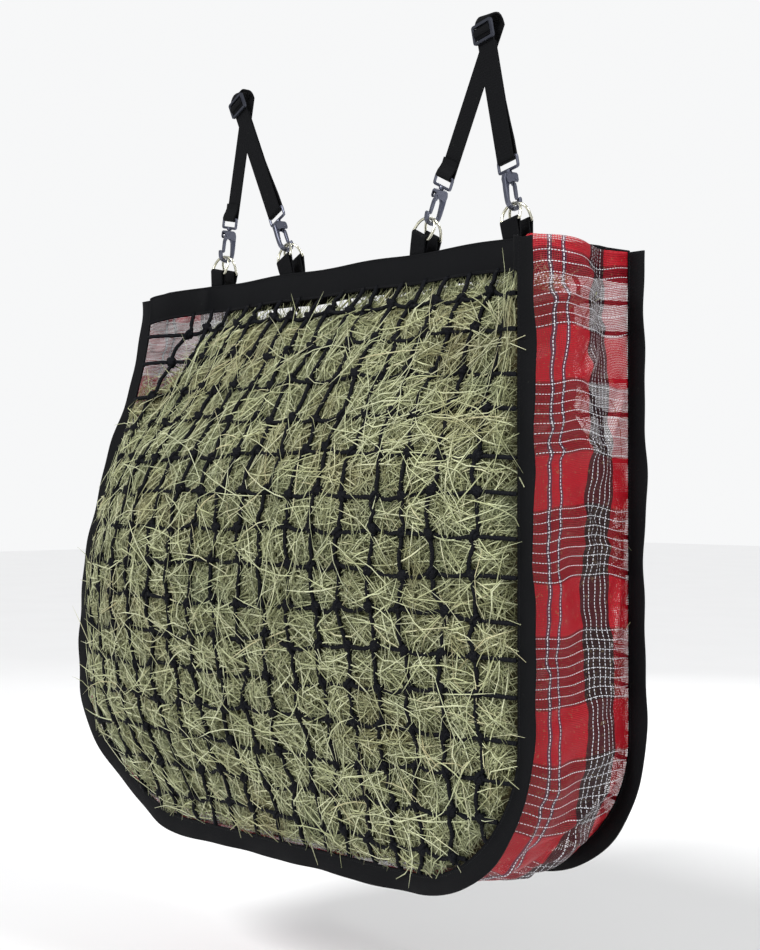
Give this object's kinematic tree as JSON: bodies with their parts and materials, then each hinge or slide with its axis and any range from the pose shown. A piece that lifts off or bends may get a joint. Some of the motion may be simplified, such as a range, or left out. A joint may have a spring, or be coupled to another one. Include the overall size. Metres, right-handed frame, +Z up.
{
  "type": "hay net",
  "caption": "Slow-feed hay net: knotted front and back nets joined by a plaid mesh gusset, webbing bound, hung by adjustable straps with swivel snaps on D-rings.",
  "frame": {"origin": "on the axis of the hanging rail, midway between the two strap tops", "axes": "+X to the right seen from the front and along the rail, -Y out of the front net, +Z up"},
  "size_m": [0.809, 0.3138, 0.9937],
  "materials": {
    "webbing": "black woven polypropylene webbing, slight sheen",
    "cord": "black braided net cord, matt, slightly fuzzy",
    "plaid_mesh": "vinyl-coated mesh, red, black and white plaid, lightly glossy",
    "gunmetal": "dark plated zinc casting, blue-grey, worn bright on edges",
    "ring_plate": "pale nickel-plated steel wire, a little yellowed",
    "slider_plate": "black plated pressed metal",
    "spring_steel": "bright spring wire",
    "hay": "dry grass hay, green to straw coloured stems"
  },
  "bodies": {
    "root": {"strap_left": "webbing", "strap_right": "webbing", "snap_eye_outer_left": "gunmetal", "snap_eye_inner_left": "gunmetal", "snap_eye_inner_right": "gunmetal", "snap_eye_outer_right": "gunmetal"},
    "slider_left": {"slider_left": "slider_plate", "slider_wrap_left": "webbing"},
    "slider_right": {"slider_right": "slider_plate", "slider_wrap_right": "webbing"},
    "hook_outer_left": {"snap_hook_outer_left": "gunmetal", "gate_pin_outer_left": "gunmetal", "gate_spring_outer_left": "spring_steel"},
    "gate_outer_left": {"snap_gate_outer_left": "gunmetal"},
    "hook_inner_left": {"snap_hook_inner_left": "gunmetal", "gate_pin_inner_left": "gunmetal", "gate_spring_inner_left": "spring_steel"},
    "gate_inner_left": {"snap_gate_inner_left": "gunmetal"},
    "hook_inner_right": {"snap_hook_inner_right": "gunmetal", "gate_pin_inner_right": "gunmetal", "gate_spring_inner_right": "spring_steel"},
    "gate_inner_right": {"snap_gate_inner_right": "gunmetal"},
    "hook_outer_right": {"snap_hook_outer_right": "gunmetal", "gate_pin_outer_right": "gunmetal", "gate_spring_outer_right": "spring_steel"},
    "gate_outer_right": {"snap_gate_outer_right": "gunmetal"},
    "bag": {"front_top_band": "webbing", "back_top_band": "webbing", "front_edge_binding": "webbing", "back_edge_binding": "webbing", "front_net": "cord", "back_net": "cord", "side_gusset": "plaid_mesh", "hay_fill": "hay", "tab_front_outer_left": "webbing", "tab_back_outer_left": "webbing", "tab_front_inner_left": "webbing", "tab_back_inner_left": "webbing", "tab_front_inner_right": "webbing", "tab_back_inner_right": "webbing", "tab_front_outer_right": "webbing", "tab_back_outer_right": "webbing"},
    "ring_front_outer_left": {"d_ring_front_outer_left": "ring_plate"},
    "ring_back_outer_left": {"d_ring_back_outer_left": "ring_plate"},
    "ring_front_inner_left": {"d_ring_front_inner_left": "ring_plate"},
    "ring_back_inner_left": {"d_ring_back_inner_left": "ring_plate"},
    "ring_front_inner_right": {"d_ring_front_inner_right": "ring_plate"},
    "ring_back_inner_right": {"d_ring_back_inner_right": "ring_plate"},
    "ring_front_outer_right": {"d_ring_front_outer_right": "ring_plate"},
    "ring_back_outer_right": {"d_ring_back_outer_right": "ring_plate"}
  },
  "joints": [
    {"name": "slider_left_slide", "type": "slide", "parent": "root", "child": "slider_left", "axis": [0.435, 0.0231, -0.9001], "range_m": [0, 0.06]},
    {"name": "slider_right_slide", "type": "slide", "parent": "root", "child": "slider_right", "axis": [0.1954, 0.0258, -0.9804], "range_m": [0, 0.06]},
    {"name": "hook_outer_left_swivel", "type": "hinge", "parent": "root", "child": "hook_outer_left", "pos_m": [-0.27396, 0, -0.17739], "axis": [0.1955, 0, 0.9807], "range_deg": [-12, 12]},
    {"name": "gate_outer_left_hinge", "type": "hinge", "parent": "hook_outer_left", "child": "gate_outer_left", "pos_m": [-0.27537, -0.005, -0.18446], "axis": [0.9807, 0, -0.1955], "range_deg": [0, 20], "stiffness_Nm_per_rad": 0.02, "springref_deg": -6.88},
    {"name": "hook_inner_left_swivel", "type": "hinge", "parent": "root", "child": "hook_inner_left", "pos_m": [-0.15967, 0, -0.18029], "axis": [-0.4351, 0, 0.9004], "range_deg": [-12, 12]},
    {"name": "gate_inner_left_hinge", "type": "hinge", "parent": "hook_inner_left", "child": "gate_inner_left", "pos_m": [-0.15653, 0.005, -0.18677], "axis": [-0.9004, 0, -0.4351], "range_deg": [0, 20], "stiffness_Nm_per_rad": 0.02, "springref_deg": -6.88},
    {"name": "hook_inner_right_swivel", "type": "hinge", "parent": "root", "child": "hook_inner_right", "pos_m": [0.15967, 0, -0.18029], "axis": [0.4351, 0, 0.9004], "range_deg": [-12, 12]},
    {"name": "gate_inner_right_hinge", "type": "hinge", "parent": "hook_inner_right", "child": "gate_inner_right", "pos_m": [0.15653, -0.005, -0.18677], "axis": [0.9004, 0, -0.4351], "range_deg": [0, 20], "stiffness_Nm_per_rad": 0.02, "springref_deg": -6.88},
    {"name": "hook_outer_right_swivel", "type": "hinge", "parent": "root", "child": "hook_outer_right", "pos_m": [0.27396, 0, -0.17739], "axis": [-0.1955, 0, 0.9807], "range_deg": [-12, 12]},
    {"name": "gate_outer_right_hinge", "type": "hinge", "parent": "hook_outer_right", "child": "gate_outer_right", "pos_m": [0.27537, 0.005, -0.18446], "axis": [-0.9807, 0, -0.1955], "range_deg": [0, 20], "stiffness_Nm_per_rad": 0.02, "springref_deg": -6.88},
    {"name": "bag_swing", "type": "hinge", "parent": "root", "child": "bag", "pos_m": [0, 0, -0.2127], "axis": [1, 0, 0], "range_deg": [-8, 8]},
    {"name": "ring_front_outer_left_hinge", "type": "hinge", "parent": "bag", "child": "ring_front_outer_left", "pos_m": [-0.28531, -0.00985, -0.23434], "axis": [0.9807, 0, -0.1955], "range_deg": [0, 2]},
    {"name": "ring_back_outer_left_hinge", "type": "hinge", "parent": "bag", "child": "ring_back_outer_left", "pos_m": [-0.28531, 0.00985, -0.23434], "axis": [-0.9807, 0, 0.1955], "range_deg": [0, 2]},
    {"name": "ring_front_inner_left_hinge", "type": "hinge", "parent": "bag", "child": "ring_front_inner_left", "pos_m": [-0.1344, -0.00985, -0.23256], "axis": [0.9004, 0, 0.4351], "range_deg": [0, 2]},
    {"name": "ring_back_inner_left_hinge", "type": "hinge", "parent": "bag", "child": "ring_back_inner_left", "pos_m": [-0.1344, 0.00985, -0.23256], "axis": [-0.9004, 0, -0.4351], "range_deg": [0, 2]},
    {"name": "ring_front_inner_right_hinge", "type": "hinge", "parent": "bag", "child": "ring_front_inner_right", "pos_m": [0.1344, -0.00985, -0.23256], "axis": [0.9004, 0, -0.4351], "range_deg": [0, 2]},
    {"name": "ring_back_inner_right_hinge", "type": "hinge", "parent": "bag", "child": "ring_back_inner_right", "pos_m": [0.1344, 0.00985, -0.23256], "axis": [-0.9004, 0, 0.4351], "range_deg": [0, 2]},
    {"name": "ring_front_outer_right_hinge", "type": "hinge", "parent": "bag", "child": "ring_front_outer_right", "pos_m": [0.28531, -0.00985, -0.23434], "axis": [0.9807, 0, 0.1955], "range_deg": [0, 2]},
    {"name": "ring_back_outer_right_hinge", "type": "hinge", "parent": "bag", "child": "ring_back_outer_right", "pos_m": [0.28531, 0.00985, -0.23434], "axis": [-0.9807, 0, -0.1955], "range_deg": [0, 2]}
  ]
}
